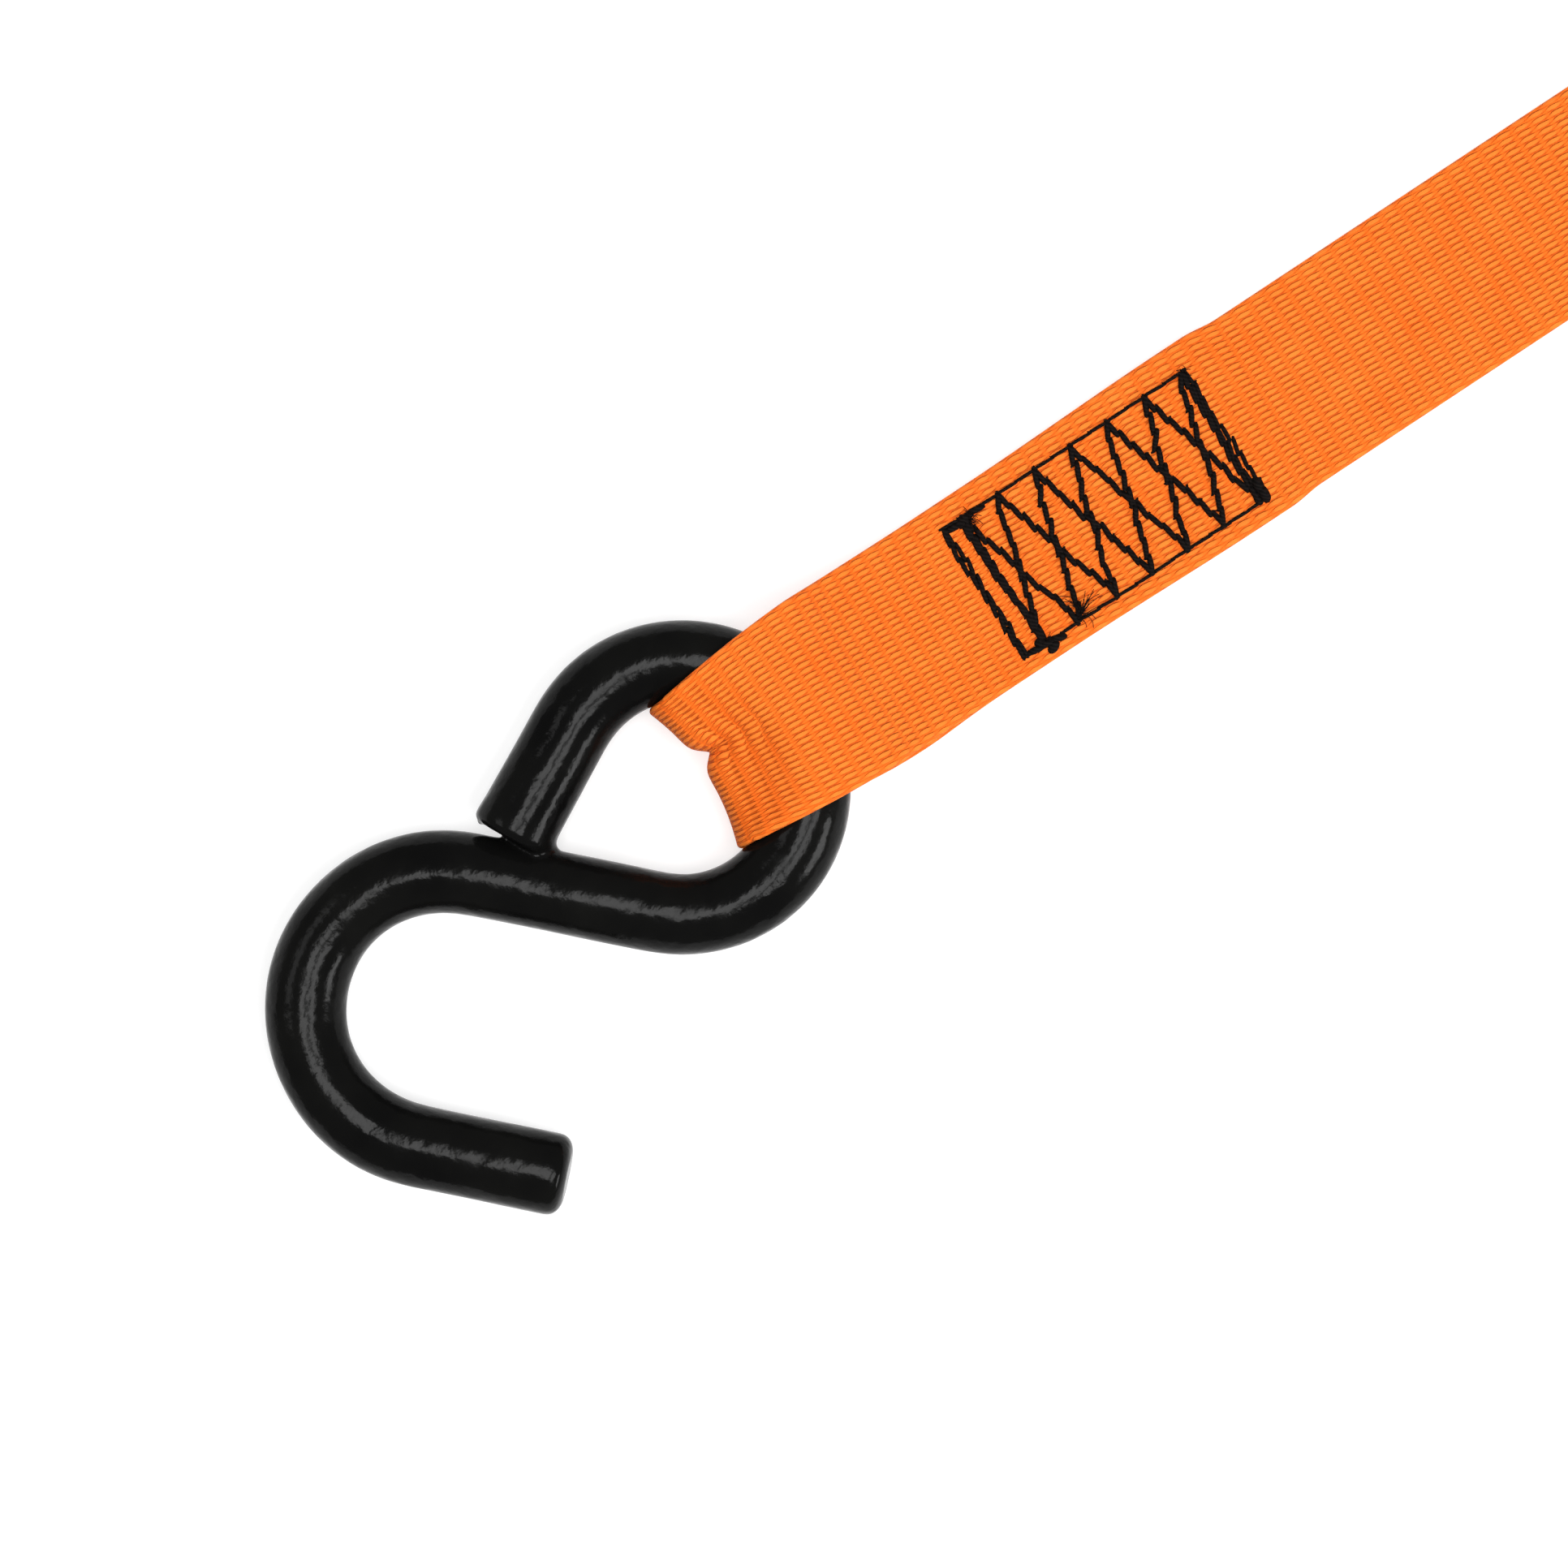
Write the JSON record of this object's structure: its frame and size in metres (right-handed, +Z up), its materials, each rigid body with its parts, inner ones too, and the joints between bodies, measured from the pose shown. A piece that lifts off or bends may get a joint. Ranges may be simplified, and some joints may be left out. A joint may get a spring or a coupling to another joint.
{
  "type": "ratchet strap",
  "caption": "Orange one-inch ratchet tie-down with black vinyl-coated S-hooks, a steel ratchet buckle laid open, and the spare webbing coiled.",
  "frame": {"origin": "middle of the underside of the ratchet frame, on the face that lies on the load", "axes": "+X along the strap from the short strap's hook towards the open handle and the coil, +Y across the strap, +Z up"},
  "size_m": [0.5591, 0.1574, 0.0353],
  "materials": {
    "zinc_steel": "bright zinc plating",
    "plain_steel": "plain or oiled steel",
    "vinyl": "glossy dipped vinyl",
    "rubber": "moulded, satin",
    "webbing": "woven polyester webbing",
    "thread": "twisted polyester thread"
  },
  "bodies": {
    "frame": {"ratchet_frame": "zinc_steel", "anchor_bolt": "plain_steel", "anchor_nut": "plain_steel", "anchor_sleeve": "plain_steel", "lock_pawl_spring": "plain_steel", "long_strap_lead": "webbing", "long_strap_twist": "webbing", "long_strap_coil": "webbing", "coil_tie": "rubber", "long_strap_hook_run": "webbing", "hook_b_stitching": "thread"},
    "handle": {"handle_frame": "zinc_steel", "handle_grip": "rubber", "drive_pawl_spring": "plain_steel"},
    "drive_pawl": {"drive_pawl": "zinc_steel"},
    "lock_pawl": {"lock_pawl": "zinc_steel"},
    "spool": {"spool_half_upper": "plain_steel", "spool_half_lower": "plain_steel", "ratchet_wheel_left": "zinc_steel", "ratchet_wheel_right": "zinc_steel", "spool_washer_left": "zinc_steel", "spool_washer_right": "zinc_steel", "cotter_pin_left": "plain_steel", "cotter_pin_right": "plain_steel", "strap_on_spool": "webbing"},
    "short_strap": {"short_strap_webbing": "webbing", "hook_a_stitching": "thread"},
    "hook_a": {"hook_a_core": "plain_steel", "hook_a_coating": "vinyl", "short_strap_hook_loop": "webbing"},
    "hook_b": {"hook_b_core": "plain_steel", "hook_b_coating": "vinyl", "long_strap_hook_loop": "webbing"}
  },
  "joints": [
    {"name": "handle_swing", "type": "hinge", "parent": "frame", "child": "handle", "pos_m": [0.033, 0, 0.02], "axis": [0, 1, 0], "range_deg": [-180, 0]},
    {"name": "drive_pawl_slide", "type": "slide", "parent": "handle", "child": "drive_pawl", "axis": [1, 0, 0], "range_m": [-0.0025, 0.003], "stiffness_N_per_m": 400, "deforming": ["drive_pawl_spring"]},
    {"name": "lock_pawl_slide", "type": "slide", "parent": "frame", "child": "lock_pawl", "axis": [1, 0, 0], "range_m": [0, 0.0037], "stiffness_N_per_m": 400, "deforming": ["lock_pawl_spring"]},
    {"name": "spool_turn", "type": "hinge", "parent": "frame", "child": "spool", "pos_m": [0.033, 0, 0.02], "axis": [0, 1, 0], "range_deg": [0, 270]},
    {"name": "short_strap_swing", "type": "hinge", "parent": "frame", "child": "short_strap", "pos_m": [-0.033, 0, 0.011], "axis": [0, 1, 0], "range_deg": [-60, 60]},
    {"name": "hook_a_swing", "type": "hinge", "parent": "short_strap", "child": "hook_a", "pos_m": [-0.2225, 0, 0.0014], "axis": [0, 1, 0], "range_deg": [-60, 60]},
    {"name": "hook_b_swing", "type": "hinge", "parent": "frame", "child": "hook_b", "pos_m": [0.0365, -0.052, 0.0014], "axis": [0, 1, 0], "range_deg": [-60, 60]}
  ]
}
